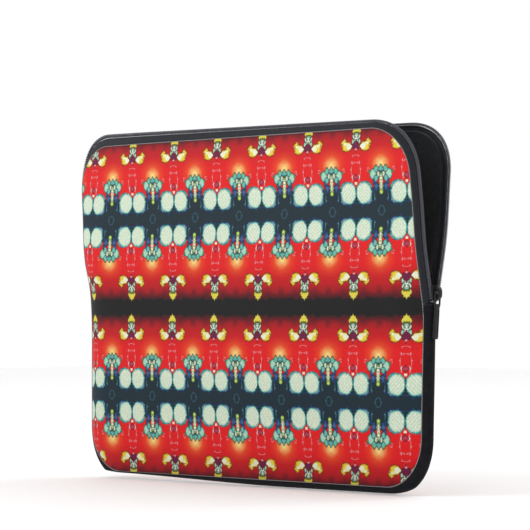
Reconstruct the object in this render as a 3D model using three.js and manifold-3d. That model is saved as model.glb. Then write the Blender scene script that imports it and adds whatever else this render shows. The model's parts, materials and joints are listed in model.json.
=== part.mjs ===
// Padded laptop sleeve, standing on its long closed edge with its zipped mouth open.
// Millimetres, +Z up, +X to the right, the printed face towards -Y.
// The origin is under the middle of the object, on the surface that it stands on.
import * as THREE from 'three';
import { mergeVertices } from 'three/addons/utils/BufferGeometryUtils.js';
import Module from 'manifold-3d';

const wasm = await Module();
wasm.setup();

// Driving dimensions.
const sleeve = { width: 394, height: 293, corner: 44, halfDepth: 10.6 };
const cornerSteps = 7;
const gap = 0.3;
const seamInset = 8;
const openAngle = THREE.MathUtils.degToRad(8.4);

// Layers of each padded panel, counted inwards from its outer face.
const knit = 0.5;
const foam = 2;
const panelDepth = 2 * knit + foam + 2 * gap;

// The flaps fold along a line that falls towards the slider's side, in the middle of each panel's
// thickness: at this height under the middle of the mouth, and this much lower each millimetre.
const fold = { z: 152.5, y: sleeve.halfDepth - panelDepth / 2, slope: -0.0661, clearance: 0.5 };
const foldAxis = new THREE.Vector3(1, 0, fold.slope).normalize();

// Heights of the band's pieces on the slider's side; on the left they are this much higher.
const leftRise = 25;
const bandTop = 142.7;
const tabTop = 148.3;
const zipStart = 149.6;
const stopHeight = 1.5;
const coilStart = 150.2;
const topStopHeight = 2.2;

// The zip: a tape under each coil, with the coil's outer side level with the band.
const coil = { thickness: 2.1, near: 0.2, far: 2.2 };

// The slider, with its outward side measured from the band's outer side.
const slider = { z: 156.5, length: 12, shoulder: 9.4, tail: 7 };
const plate = { thickness: 1.2, outer: 0.3, inner: -4.9 };
const cap = { halfWidth: 1.7, reach: 5.9 };
const pull = { pivotOut: 3.2, pivotUp: -0.5, length: 34, width: 6, thickness: 1.6, lean: 5 };

// The slider stands out on the right only, so the sleeve sits half of that to the left.
const originShift = -cap.reach / 2;

const black = { roughness: 0.9, metalness: 0 };
const materials = {
  print: new THREE.MeshStandardMaterial({ color: 0xb8282a, roughness: 0.85, metalness: 0 }),
  foam: new THREE.MeshStandardMaterial({ color: 0x1d1e21, roughness: 0.95, metalness: 0 }),
  lining: new THREE.MeshStandardMaterial({ color: 0x17181a, ...black }),
  band: new THREE.MeshStandardMaterial({ color: 0x111216, ...black }),
  edge: new THREE.MeshStandardMaterial({ color: 0xcfcac6, ...black }),
  tape: new THREE.MeshStandardMaterial({ color: 0x24272c, ...black }),
  coil: new THREE.MeshStandardMaterial({ color: 0x0c0c0e, roughness: 0.5, metalness: 0 }),
  metal: new THREE.MeshStandardMaterial({ color: 0x121214, roughness: 0.35, metalness: 0.7 }),
};

function named(name, geometry, material) {
  const mesh = new THREE.Mesh(geometry, material);
  mesh.name = name;
  return mesh;
}

// Stations along the outer side of the band, from the right end, round both corners, to the left.
// side is 1 over the top and -1 under the bottom; each station holds a point and its normal.
function rimStations(side, rightEnd, leftEnd = rightEnd) {
  const straight = sleeve.width / 2 - sleeve.corner;
  const centreZ = side > 0 ? sleeve.height - sleeve.corner : sleeve.corner;
  const corner = [];
  for (let step = 0; step <= cornerSteps; step += 1) {
    const angle = (step / cornerSteps) * (Math.PI / 2);
    corner.push({ across: Math.cos(angle), up: side * Math.sin(angle) });
  }
  const place = (direction, hand) => ({
    x: hand * (straight + sleeve.corner * direction.across),
    z: centreZ + sleeve.corner * direction.up,
    nx: hand * direction.across,
    nz: direction.up,
  });
  const end = (hand, z) => ({ x: (hand * sleeve.width) / 2, z, nx: hand, nz: 0 });
  const right = corner.map((direction) => place(direction, 1));
  const left = corner.map((direction) => place(direction, -1)).reverse();
  return [end(1, rightEnd), ...right, ...left, end(-1, leftEnd)];
}

// Stations of a short straight piece on one side, with its heights as on the slider's side.
function sidePiece(hand, low, high) {
  const x = (hand * sleeve.width) / 2;
  const rise = hand < 0 ? leftRise : 0;
  return [{ x, z: low + rise, nx: hand, nz: 0 }, { x, z: high + rise, nx: hand, nz: 0 }];
}

// The panels' edge stations above or below the fold.
function panelStations(side) {
  const reach = sleeve.width / 2 - seamInset;
  const cut = (x) => fold.z + fold.slope * x + side * fold.clearance;
  return rimStations(side, cut(reach), cut(-reach));
}

function signedVolume(points, triangles) {
  const [a, b, c] = [new THREE.Vector3(), new THREE.Vector3(), new THREE.Vector3()];
  let volume = 0;
  for (let i = 0; i < triangles.length; i += 3) {
    a.fromArray(points, 3 * triangles[i]);
    b.fromArray(points, 3 * triangles[i + 1]);
    c.fromArray(points, 3 * triangles[i + 2]);
    volume += a.dot(b.cross(c));
  }
  return volume;
}

function closedGeometry(points, triangles) {
  const facing = signedVolume(points, triangles) > 0 ? triangles : [...triangles].reverse();
  const geometry = new THREE.BufferGeometry();
  geometry.setAttribute('position', new THREE.Float32BufferAttribute(points, 3));
  geometry.setIndex(facing);
  geometry.computeVertexNormals();
  return geometry;
}

// A closed section of [outward, y] points carried along the stations, with flat ends.
function sweep(section, stations) {
  const contour = section.map(([out, y]) => new THREE.Vector2(out, y));
  if (THREE.ShapeUtils.isClockWise(contour)) contour.reverse();
  const points = [];
  const triangles = [];
  const count = contour.length;
  stations.forEach(({ x, z, nx, nz }) => {
    contour.forEach(({ x: out, y }) => points.push(x + nx * out, y, z + nz * out));
  });
  for (let ring = 0; ring < stations.length - 1; ring += 1) {
    for (let i = 0; i < count; i += 1) {
      const a = ring * count + i;
      const b = ring * count + ((i + 1) % count);
      triangles.push(a, b, b + count, a, b + count, a + count);
    }
  }
  const lastRing = (stations.length - 1) * count;
  THREE.ShapeUtils.triangulateShape(contour, []).forEach(([a, b, c]) => {
    triangles.push(c, b, a, lastRing + a, lastRing + b, lastRing + c);
  });
  return closedGeometry(points, triangles);
}

// Both long sides of a strip: its outer line, and the same line moved in by its thickness.
function strip(outer, inner) {
  return [...outer, ...[...inner].reverse()];
}

function mirrored(points) {
  return points.map(([out, y]) => [out, -y]).reverse();
}

function facing(points, face) {
  return points.map(([out, y]) => [out, face * y]);
}

// The panel's outline above or below the fold, as a shape in x and z.
function panelShape(side) {
  const outline = panelStations(side).map(
    ({ x, z, nx, nz }) => new THREE.Vector2(x - nx * seamInset, z - nz * seamInset),
  );
  return new THREE.Shape(outline);
}

// One layer of a panel: depth is from the outer face to the layer's outer side; face is -1 or 1.
function layer(side, face, depth, thickness) {
  const settings = { depth: thickness, bevelEnabled: false };
  const geometry = new THREE.ExtrudeGeometry(panelShape(side), settings);
  geometry.rotateX(Math.PI / 2);
  const outer = sleeve.halfDepth - depth;
  geometry.translate(0, face > 0 ? outer : thickness - outer, 0);
  return geometry;
}

function panelLayers(label, side, face) {
  const zone = side > 0 ? 'upper' : 'lower';
  const name = (piece) => `${label}_${piece}_${zone}`;
  const foamDepth = knit + gap;
  const liningDepth = foamDepth + foam + gap;
  return [
    named(name('face'), layer(side, face, 0, knit), materials.print),
    named(name('foam'), layer(side, face, foamDepth, foam), materials.foam),
    named(name('lining'), layer(side, face, liningDepth, knit), materials.lining),
  ];
}

// Sections across the rim, drawn for the front, where y is negative.
const bandOuter = [[-6.4, -10.1], [-3.4, -8.7], [-1.1, -6], [0, -2.6]];
const bandInner = [[-6.4, -7.6], [-4.6, -6.8], [-3, -4.8], [-2.4, -2.1]];
const liningOuter = [[-6.4, -7.3], [-4.8, -6.5], [-3.3, -4.6], [-2.7, -2]];
const liningInner = [[-6.4, -6.8], [-5.1, -6], [-3.8, -4.3], [-3.2, -1.8]];
const seamSection = [[-7.7, -10.4], [-6.7, -10.4], [-6.7, -9.3], [-7.7, -9.3]];
const tapeOuter = [[-6.4, -9.4], [-3.9, -7.8], [-2.4, -5.6], [-2.4, -0.9]];
const tapeInner = [[-6.4, -8.5], [-4.3, -7.2], [-3.1, -5.3], [-3.1, -0.9]];

function wholeSection(outer, inner) {
  return strip([...outer, ...mirrored(outer)], [...inner, ...mirrored(inner)]);
}

function coilSection(face) {
  const { thickness, near, far } = coil;
  return facing([[0, near], [0, far], [-thickness, far], [-thickness, near]], face);
}

function tapeSection(face) {
  return facing(strip(tapeOuter, tapeInner), -face);
}

function seam(label, side, face) {
  const zone = side > 0 ? 'upper' : 'lower';
  const geometry = sweep(facing(seamSection, -face), panelStations(side));
  return named(`${label}_seam_edge_${zone}`, geometry, materials.edge);
}

function shell() {
  const path = rimStations(-1, bandTop, bandTop + leftRise);
  const band = sweep(wholeSection(bandOuter, bandInner), path);
  const lining = sweep(wholeSection(liningOuter, liningInner), path);
  const tab = (hand) =>
    sweep(wholeSection(bandOuter, bandInner), sidePiece(hand, bandTop + gap, tabTop));
  const stopSection = strip([[0, -coil.far], [0, coil.far]], [[-2.1, -coil.far], [-2.1, coil.far]]);
  const stop = sweep(stopSection, sidePiece(1, tabTop + gap, tabTop + gap + stopHeight));
  return [
    ...panelLayers('front', -1, -1),
    ...panelLayers('back', -1, 1),
    named('gusset_band', band, materials.band),
    named('gusset_lining', lining, materials.lining),
    seam('front', -1, -1),
    seam('back', -1, 1),
    named('zip_end_tab_right', tab(1), materials.band),
    named('zip_end_tab_left', tab(-1), materials.band),
    named('zip_bottom_stop', stop, materials.coil),
  ];
}

function flap(label, face) {
  const topStopEnd = coilStart + topStopHeight;
  const tapePath = rimStations(1, zipStart, zipStart + leftRise);
  const coilPath = rimStations(1, coilStart, topStopEnd + gap + leftRise);
  const topStop = sweep(coilSection(face), sidePiece(-1, coilStart, topStopEnd));
  return [
    ...panelLayers(label, 1, face),
    seam(label, 1, face),
    named(`${label}_zip_tape`, sweep(tapeSection(face), tapePath), materials.tape),
    named(`${label}_zip_coil`, sweep(coilSection(face), coilPath), materials.coil),
    named(`${label}_top_stop`, topStop, materials.coil),
  ];
}

// The meshes are drawn with the mouth closed, and their group turns them open about the fold.
function openedFlap(label, face) {
  const pivot = new THREE.Group();
  pivot.position.set(0, face * fold.y, fold.z);
  pivot.quaternion.setFromAxisAngle(foldAxis, -face * openAngle);
  const closed = new THREE.Group();
  closed.position.copy(pivot.position).negate();
  closed.add(...flap(label, face));
  return pivot.add(closed);
}

// Turns a shape drawn in [y, z] and extruded upwards into one whose thickness runs outwards.
function extrudeOutwards(shape, from, thickness, curveSegments = 6) {
  const settings = { depth: thickness, bevelEnabled: false, curveSegments };
  const geometry = new THREE.ExtrudeGeometry(shape, settings);
  const outwards = new THREE.Matrix4().makeBasis(
    new THREE.Vector3(0, 1, 0),
    new THREE.Vector3(0, 0, 1),
    new THREE.Vector3(1, 0, 0),
  );
  return geometry.applyMatrix4(outwards).translate(from, 0, 0);
}

function toSolid(geometry) {
  const bare = geometry.clone();
  bare.deleteAttribute('normal');
  bare.deleteAttribute('uv');
  const merged = mergeVertices(bare, 1e-4);
  const vertProperties = new Float32Array(merged.attributes.position.array);
  const triVerts = new Uint32Array(merged.index.array);
  return new wasm.Manifold(new wasm.Mesh({ numProp: 3, vertProperties, triVerts }));
}

function fromSolid(solid) {
  const { vertProperties, triVerts } = solid.getMesh();
  const geometry = new THREE.BufferGeometry();
  geometry.setAttribute('position', new THREE.Float32BufferAttribute(vertProperties, 3));
  geometry.setIndex([...triVerts]);
  geometry.computeVertexNormals();
  return geometry;
}

// The slider's plate seen from outside: broad shoulders above, a narrower rounded tail below.
function plateShape() {
  const half = slider.length / 2;
  const wide = slider.shoulder / 2;
  const narrow = slider.tail / 2;
  const round = 1.6;
  const shape = new THREE.Shape();
  shape.moveTo(-narrow + round, -half);
  shape.lineTo(narrow - round, -half);
  shape.quadraticCurveTo(narrow, -half, narrow, -half + round);
  shape.lineTo(wide, 1);
  shape.lineTo(wide, half - round);
  shape.quadraticCurveTo(wide, half, wide - round, half);
  shape.lineTo(-wide + round, half);
  shape.quadraticCurveTo(-wide, half, -wide, half - round);
  shape.lineTo(-wide, 1);
  shape.lineTo(-narrow, -half + round);
  shape.quadraticCurveTo(-narrow, -half, -narrow + round, -half);
  return shape;
}

// Two plates held apart by the post that parts the coils.
function sliderBody() {
  const post = { halfWidth: 0.5, low: 1.5, high: 5 };
  const outer = toSolid(extrudeOutwards(plateShape(), plate.outer, plate.thickness));
  const inner = toSolid(extrudeOutwards(plateShape(), plate.inner, plate.thickness));
  const reach = plate.outer - plate.inner;
  const bar = new THREE.BoxGeometry(reach, 2 * post.halfWidth, post.high - post.low);
  bar.translate(plate.inner + plate.thickness / 2 + reach / 2, 0, (post.high + post.low) / 2);
  return fromSolid(outer.add(inner).add(toSolid(bar)));
}

// A shape drawn in [outward, z] and extruded across the slider, centred on it.
function extrudeAcross(shape, width, curveSegments = 5) {
  const settings = { depth: width, bevelEnabled: false, curveSegments };
  const geometry = new THREE.ExtrudeGeometry(shape, settings);
  return geometry.rotateX(Math.PI / 2).translate(0, width / 2, 0);
}

// The cap is an arch over the outer plate; the pull's eye passes under it.
function sliderCap() {
  const base = plate.outer + plate.thickness + gap;
  const roof = 4.4;
  const shape = new THREE.Shape();
  shape.moveTo(base, -5.2);
  shape.bezierCurveTo(4.4, -5.2, cap.reach, -3.6, cap.reach, -1);
  shape.lineTo(cap.reach, 1.2);
  shape.bezierCurveTo(cap.reach, 4, 4.4, 5.4, base, 5.4);
  shape.lineTo(base, 4.2);
  shape.bezierCurveTo(3.6, 4.2, roof, 3.4, roof, 1.4);
  shape.lineTo(roof, -1.6);
  shape.bezierCurveTo(roof, -3, 3.4, -3.6, base, -3.6);
  return extrudeAcross(shape, 2 * cap.halfWidth);
}

// A small sprung pawl under the cap, which locks the slider on the coil.
function lockPin() {
  const base = plate.outer + plate.thickness + gap;
  const shape = new THREE.Shape();
  shape.moveTo(base, 2.2);
  shape.lineTo(base + 1.5, 2.2);
  shape.lineTo(base + 1.5, 2.9);
  shape.lineTo(base + 0.7, 2.9);
  shape.lineTo(base + 0.7, 3.6);
  shape.lineTo(base, 3.6);
  return extrudeAcross(shape, 1.4);
}

// The pull: an eye round the cap's arch, and a flat rounded grip below it.
function pullTab() {
  const half = pull.width / 2;
  const bar = 0.7;
  const eye = { halfWidth: 3.6, holeHalf: 2.5, hole: 6.2, shoulder: 7, neck: 9 };
  const shape = new THREE.Shape();
  shape.moveTo(-eye.halfWidth, bar);
  shape.lineTo(-eye.halfWidth, -eye.shoulder);
  shape.lineTo(-half, -eye.neck);
  shape.lineTo(-half, -pull.length + 1.2);
  shape.quadraticCurveTo(-half, -pull.length, -half + 1.2, -pull.length);
  shape.lineTo(half - 1.2, -pull.length);
  shape.quadraticCurveTo(half, -pull.length, half, -pull.length + 1.2);
  shape.lineTo(half, -eye.neck);
  shape.lineTo(eye.halfWidth, -eye.shoulder);
  shape.lineTo(eye.halfWidth, bar);
  const hole = new THREE.Path();
  hole.moveTo(-eye.holeHalf, -bar);
  hole.lineTo(eye.holeHalf, -bar);
  hole.lineTo(eye.holeHalf, -eye.hole);
  hole.lineTo(-eye.holeHalf, -eye.hole);
  shape.holes.push(hole);
  const thickness = Math.min(pull.thickness, 2 * bar);
  return extrudeOutwards(shape, -thickness / 2, thickness);
}

function sliderGroup() {
  const group = new THREE.Group();
  group.position.set(sleeve.width / 2, 0, slider.z);
  group.add(
    named('slider_body', sliderBody(), materials.metal),
    named('slider_cap', sliderCap(), materials.metal),
    named('slider_lock_pin', lockPin(), materials.metal),
  );
  const tab = named('pull_tab', pullTab(), materials.metal);
  tab.position.set(pull.pivotOut, 0, pull.pivotUp);
  tab.rotation.x = THREE.MathUtils.degToRad(-pull.lean);
  return group.add(tab);
}

const laptopSleeve = new THREE.Group();
laptopSleeve.position.x = originShift;
laptopSleeve.add(...shell());
laptopSleeve.add(openedFlap('front', -1));
laptopSleeve.add(openedFlap('back', 1));
laptopSleeve.add(sliderGroup());

export default laptopSleeve;
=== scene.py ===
"""The looks of a padded laptop sleeve that stands with its zipped mouth open, built round the frame.

Sizes are in millimetres in the sleeve's own place: x from the middle of its width, z up from the
closed edge and y towards the back. new_piece() turns them into metres in the frame. The mouth is
drawn closed, and opened() then turns what is above the fold, as the CAD flaps are turned.
"""
import json
import math

import bmesh
import bpy
import numpy as np
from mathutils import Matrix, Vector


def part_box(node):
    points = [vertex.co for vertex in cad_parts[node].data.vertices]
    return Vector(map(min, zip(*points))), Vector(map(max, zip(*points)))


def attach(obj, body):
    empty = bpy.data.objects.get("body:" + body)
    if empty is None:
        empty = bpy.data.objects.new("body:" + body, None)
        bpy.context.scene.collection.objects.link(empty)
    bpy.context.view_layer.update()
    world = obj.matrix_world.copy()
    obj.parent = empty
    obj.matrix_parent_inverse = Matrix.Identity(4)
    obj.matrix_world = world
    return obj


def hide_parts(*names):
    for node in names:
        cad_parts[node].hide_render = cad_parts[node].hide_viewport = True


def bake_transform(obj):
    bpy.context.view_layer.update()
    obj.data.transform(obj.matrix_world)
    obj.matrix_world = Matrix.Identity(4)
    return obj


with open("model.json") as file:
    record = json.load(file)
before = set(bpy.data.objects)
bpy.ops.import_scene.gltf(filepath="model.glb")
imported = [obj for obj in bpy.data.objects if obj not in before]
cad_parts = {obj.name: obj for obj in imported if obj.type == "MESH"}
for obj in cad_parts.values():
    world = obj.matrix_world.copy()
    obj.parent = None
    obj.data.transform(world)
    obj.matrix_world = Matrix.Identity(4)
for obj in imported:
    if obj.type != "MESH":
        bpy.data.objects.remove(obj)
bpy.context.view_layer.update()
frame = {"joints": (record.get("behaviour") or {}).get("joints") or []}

MM = 0.001

# ---- driving sizes ----
band_low, band_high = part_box("gusset_band")
CENTRE_X = (band_low.x + band_high.x) / 2 / MM
HALF_WIDTH = (band_high.x - band_low.x) / 2 / MM
HEIGHT = 293.0
CORNER = 44.0
LEFT_RISE = 25.0

# The print's edge: how far in from the outer side, and how far from the sleeve's middle plane.
SEAM_INSET = 8.0
SEAM_DEPTH = 4.3
# From that edge each panel rises over this margin, to this much further out.
MARGIN = 32.0
RISE = 7.2
# The shell keeps the bulge of a laptop; above the fold the freed panel lies hollow between its edges.
BULGE = {"rise": 5.8, "x": 42.0, "z": 118.0, "reach_x": 95.0, "reach_z": 110.0}
HOLLOW = 5.0

# The cloth simulation in which each panel swells: its settings in Blender's units, its length in
# frames and the most that a point may move.
CLOTH = {
    "quality": 5, "mass": 0.4, "tension_stiffness": 60.0, "compression_stiffness": 60.0,
    "shear_stiffness": 15.0, "bending_stiffness": 4.0, "use_pressure": True,
    "uniform_pressure_force": 0.5,
}
CLOTH_FRAMES = 14
MOST_SWELL = 1.8

KNIT = 0.6
FOAM = 2.2
LINING = 0.5
LAYER_GAP = 0.1

# The fold line of the open mouth.
joints = {joint["name"]: joint for joint in frame["joints"]}
front_fold = joints["front_flap_fold"]
FOLD_AXIS = np.array(front_fold["axis"], float)
FOLD_POINT = np.array(front_fold["pos_m"], float) / MM - (CENTRE_X, 0, 0)
FOLD_UP = np.array([-FOLD_AXIS[2], 0, FOLD_AXIS[0]])
OPEN_ANGLE = math.radians(8.4)
BEND = 20.0
# Each freed panel bows out: the height of the bow above the fold, its spread and how far.
BOW = {-1: (52.0, 26.0, 1.5), 1: (62.0, 42.0, 3.6)}
# Both panels' left edges lean back at the top, between two heights above the fold, and the front
# one springs forward by the fold, most at one height. Both grow leftward over the same zone.
LEFT_CURL = {"back": 3.5, "spring": 5.0}
CURL_ZONE = (100, 190)
BACK_HEIGHTS = (70, 120)
SPRING_HEIGHT = 20
SPRING_SPREAD = 30
# How far the left side and the lower right side are drawn in, and the share by which the rim below
# the seam is lifted towards the left.
DRAWN_IN = {"left": 0.4, "right": 3.2, "lower_rim": 0.5}
# The distances from the middle at which the drawing in starts and is whole.
DRAWN_ZONE = (60, 190)
# The height at which the right side is no longer drawn in, and where the lifting starts and is whole,
# counted leftward from the middle.
DRAWN_TOP = 130
LIFT_ZONE = (-40, 170)
# How far the lower seam hangs; below it this fades out towards the lowest edge.
LOWER_SAG = 2.0
# The share of its reach that the rim loses on the left, tucked behind the panel, and the share that
# the top rim loses to the right and gains to the left at STAND_FULL from the middle.
RIM_TUCK = 0.72
RIM_STAND = 0.26
STAND_FULL = 180

# The band, the tape, the coil and the slider.
BAND_REACH = 7.2
BAND_SKIN = 2.4
BAND_BASE = 0.35 - SEAM_INSET
SQUARER = 1.3
TAB_LOW = 142.7
TAB_TOP = 149.0
TAPE_START = 143.5
COIL_START = 150.4
COIL_END = COIL_START + LEFT_RISE + 2.6
COIL_PITCH = 1.7
SLIDER_Z = 156.5


# ---- meshes ----
def grid_faces(rows, columns, wrap=False, first=0, loop=False):
    """Quads between neighbouring points of a grid that is stored row by row. With wrap the last
    column joins the first one, and with loop the last row joins the first one."""
    row = np.arange(rows if loop else rows - 1)[:, None] * columns
    column = np.arange(columns if wrap else columns - 1)[None, :]
    next_row = (row + columns) % (rows * columns)
    after = (column + 1) % columns
    quads = np.stack([row + column, row + after, next_row + after, next_row + column], -1)
    return (quads.reshape(-1, 4) + first).tolist()


def new_object(name, data):
    thing = bpy.data.objects.new(name, data)
    bpy.context.scene.collection.objects.link(thing)
    return thing


def new_piece(name, points, faces, material, flat=None):
    """A smooth mesh from points in millimetres; flat holds each point's place on the uncut cloth."""
    points = np.asarray(points, float).reshape(-1, 3)
    mesh = bpy.data.meshes.new(name)
    mesh.from_pydata(((points + (CENTRE_X, 0, 0)) * MM).tolist(), [], faces)
    if flat is not None:
        attribute = mesh.attributes.new("flat", "FLOAT_VECTOR", "POINT")
        attribute.data.foreach_set("vector", np.asarray(flat, np.float32).ravel())
    work = bmesh.new()
    work.from_mesh(mesh)
    bmesh.ops.recalc_face_normals(work, faces=work.faces)
    work.to_mesh(mesh)
    work.free()
    mesh.polygons.foreach_set("use_smooth", [True] * len(mesh.polygons))
    mesh.materials.append(material)
    return new_object(name, mesh)


def soften_edges(piece, width, angle=30, segments=2):
    """Rounds a piece's sharp edges by width, in millimetres, for good."""
    bevel = piece.modifiers.new("rounding", "BEVEL")
    bevel.width = width * MM
    bevel.segments = segments
    bevel.angle_limit = math.radians(angle)
    bevel.harden_normals = False
    depsgraph = bpy.context.evaluated_depsgraph_get()
    rounded = bpy.data.meshes.new_from_object(piece.evaluated_get(depsgraph))
    piece.modifiers.clear()
    piece.data = rounded
    rounded.polygons.foreach_set("use_smooth", [True] * len(rounded.polygons))
    rounded.set_sharp_from_angle(angle=math.radians(angle + 12))
    return piece


def along_and_across(points):
    """Distances along the stations and across the section of a loft, as its place on the cloth."""
    steps = np.linalg.norm(np.diff(points, axis=0), axis=2).mean(1)
    flat = np.zeros(points.shape)
    flat[..., 0] = np.concatenate([[0], np.cumsum(steps)])[:, None]
    flat[..., 1] = reach_along(points[0])
    return flat


def swept_piece(name, points, material):
    """A closed section carried along stations, with flat ends."""
    rows, columns = points.shape[:2]
    faces = grid_faces(rows, columns, wrap=True)
    faces.append(list(range(columns)))
    faces.append(list(range((rows - 1) * columns, rows * columns)))
    return new_piece(name, points, faces, material, along_and_across(points))


def line_length(points):
    return np.linalg.norm(np.diff(points, axis=0), axis=1).sum()


def reach_along(points):
    """How far along a line each of its points lies."""
    return np.concatenate([[0], np.cumsum(np.linalg.norm(np.diff(points, axis=0), axis=1))])


def unit(vectors):
    """The same directions, at length 1."""
    return vectors / np.linalg.norm(vectors, axis=-1, keepdims=True)


def round_angles(count):
    """Angles spread evenly round a circle."""
    return np.linspace(0, 2 * math.pi, count + 1)[:-1]


# ---- the rim ----
def resampled(path, step):
    """Stations a step apart along a path of rows of x, z and the outward normal."""
    reach = reach_along(path[:, :2])
    places = np.linspace(0, reach[-1], max(2, round(reach[-1] / step) + 1))
    stations = np.stack([np.interp(places, reach, column) for column in path.T], 1)
    stations[:, 2:] = unit(stations[:, 2:])
    return stations


def rim(side, right_end, left_end, step=4.0):
    """Stations along the outer side from the right end to the left one: over the top where side
    is 1, and under the bottom where it is -1."""
    centre_z = HEIGHT - CORNER if side > 0 else CORNER
    straight = HALF_WIDTH - CORNER
    angles = np.linspace(0, math.pi / 2, 40)
    turn = np.stack([np.cos(angles), side * np.sin(angles)], 1)
    right = np.hstack([turn * CORNER + (straight, centre_z), turn])
    left = (right * (-1, 1, -1, 1))[::-1]
    start = [HALF_WIDTH, right_end, 1, 0]
    end = [-HALF_WIDTH, left_end, -1, 0]
    return resampled(np.vstack([[start], right, left, [end]]), step)


def side_piece(hand, low, high, step=1.0):
    """Stations of a short straight piece on one side, its heights as on the slider's side."""
    rise = LEFT_RISE if hand < 0 else 0
    ends = [[hand * HALF_WIDTH, z + rise, hand, 0] for z in (low, high)]
    return resampled(np.array(ends, float), step)


def rim_reach(x, nx, nz, out):
    """How far outward a part of the rim lies: squarer at the corners, tucked behind the panel on the
    left, and along the top standing up towards the left."""
    beyond = np.clip(out + SEAM_INSET, 0, None)
    squarer = SQUARER * 4 * (nx * nz) ** 2 * np.clip(beyond / SEAM_INSET, 0, 1)
    tucked = RIM_TUCK * np.clip(-nx, 0, 1) ** 1.5
    stood = RIM_STAND * x / STAND_FULL * np.clip(nz, 0, 1) ** 2
    return out + squarer - beyond * (tucked + stood)


def placed(stations, out, y):
    """Points this far outward from each station of the rim, at these depths."""
    x, z, nx, nz = (column[:, None] for column in stations.T)
    return np.stack([x + nx * out, np.broadcast_to(y, out.shape), z + nz * out], -1)


def loft(stations, section):
    """A section of [outward, y] points at each station of the rim."""
    x, _, nx, nz = (column[:, None] for column in stations.T)
    out, y = section.T
    return placed(stations, rim_reach(x, nx, nz, out), y)


def arch(base, reach, depth, count=25, power=2.5):
    """A rounded section from the front edge (base, -depth) over the outside to the back edge."""
    angles = np.linspace(-math.pi / 2, math.pi / 2, count)
    cosines, sines = np.cos(angles), np.sin(angles)
    out = base + reach * np.abs(cosines) ** (2 / power)
    y = depth * np.sign(sines) * np.abs(sines) ** (2 / power)
    return np.stack([out, y], 1)


def faced(section, face):
    """A section drawn for the front, turned to the back where face is 1."""
    return section * (1, -face)


# ---- the open mouth ----
def settled(points):
    """The sleeve as it stands: the lower right side and the whole left side drawn in a little,
    and the lower edge lifted towards the left."""
    x, z = points[..., 0], points[..., 2]
    right = smooth(x, *DRAWN_ZONE) * np.clip(1 - z / DRAWN_TOP, 0, 1)
    lifted = np.clip(SEAM_INSET - z, 0, SEAM_INSET) * smooth(-x, *LIFT_ZONE)
    result = points.copy()
    result[..., 0] += DRAWN_IN["left"] * smooth(-x, *DRAWN_ZONE) - DRAWN_IN["right"] * right
    result[..., 2] += DRAWN_IN["lower_rim"] * lifted
    result[..., 2] -= LOWER_SAG * np.clip(1 - np.abs(z - SEAM_INSET) / (1.5 * MARGIN), 0, 1)
    result[..., 2] += LOWER_SAG * np.clip(1 - z / SEAM_INSET, 0, 1)
    return result


def above_fold(points, face):
    pivot = FOLD_POINT * (1, -face, 1)
    return (points - pivot) @ FOLD_UP


def opened(points, face):
    """Points drawn with the mouth closed, turned open about the fold; the foam bends smoothly."""
    points = settled(np.asarray(points, float))
    pivot = FOLD_POINT * (1, -face, 1)
    height = above_fold(points, face)
    share = np.clip((height + BEND) / (2 * BEND), 0, 1)
    angle = (-face * OPEN_ANGLE * share * share * (3 - 2 * share))[..., None]
    arm = points - pivot
    along = (arm @ FOLD_AXIS)[..., None] * FOLD_AXIS
    turned = (arm - along) * np.cos(angle) + np.cross(FOLD_AXIS, arm) * np.sin(angle)
    result = pivot + along + turned
    peak, width, bow = BOW[face]
    result[..., 1] += face * bow * np.exp(-(((height - peak) / width) ** 2))
    leftward = smooth(-points[..., 0], *CURL_ZONE)
    result[..., 1] += LEFT_CURL["back"] * smooth(height, *BACK_HEIGHTS) * leftward
    if face < 0:
        near_fold = np.exp(-(((height - SPRING_HEIGHT) / SPRING_SPREAD) ** 2))
        result[..., 1] -= LEFT_CURL["spring"] * near_fold * leftward
    return result


def bend_with_flap(piece):
    """Bakes the piece's placing into its points; the piece is not attached to the shell or a flap."""
    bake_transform(piece)
    return piece


def label_of(face):
    return "front" if face < 0 else "back"


# ---- materials ----
def colour(red, green, blue):
    """A display colour, 0 to 255 a channel, as the linear colour that a shader takes."""
    def linear(value):
        share = value / 255
        return share / 12.92 if share <= 0.04045 else ((share + 0.055) / 1.055) ** 2.4
    return (linear(red), linear(green), linear(blue), 1.0)


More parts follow.
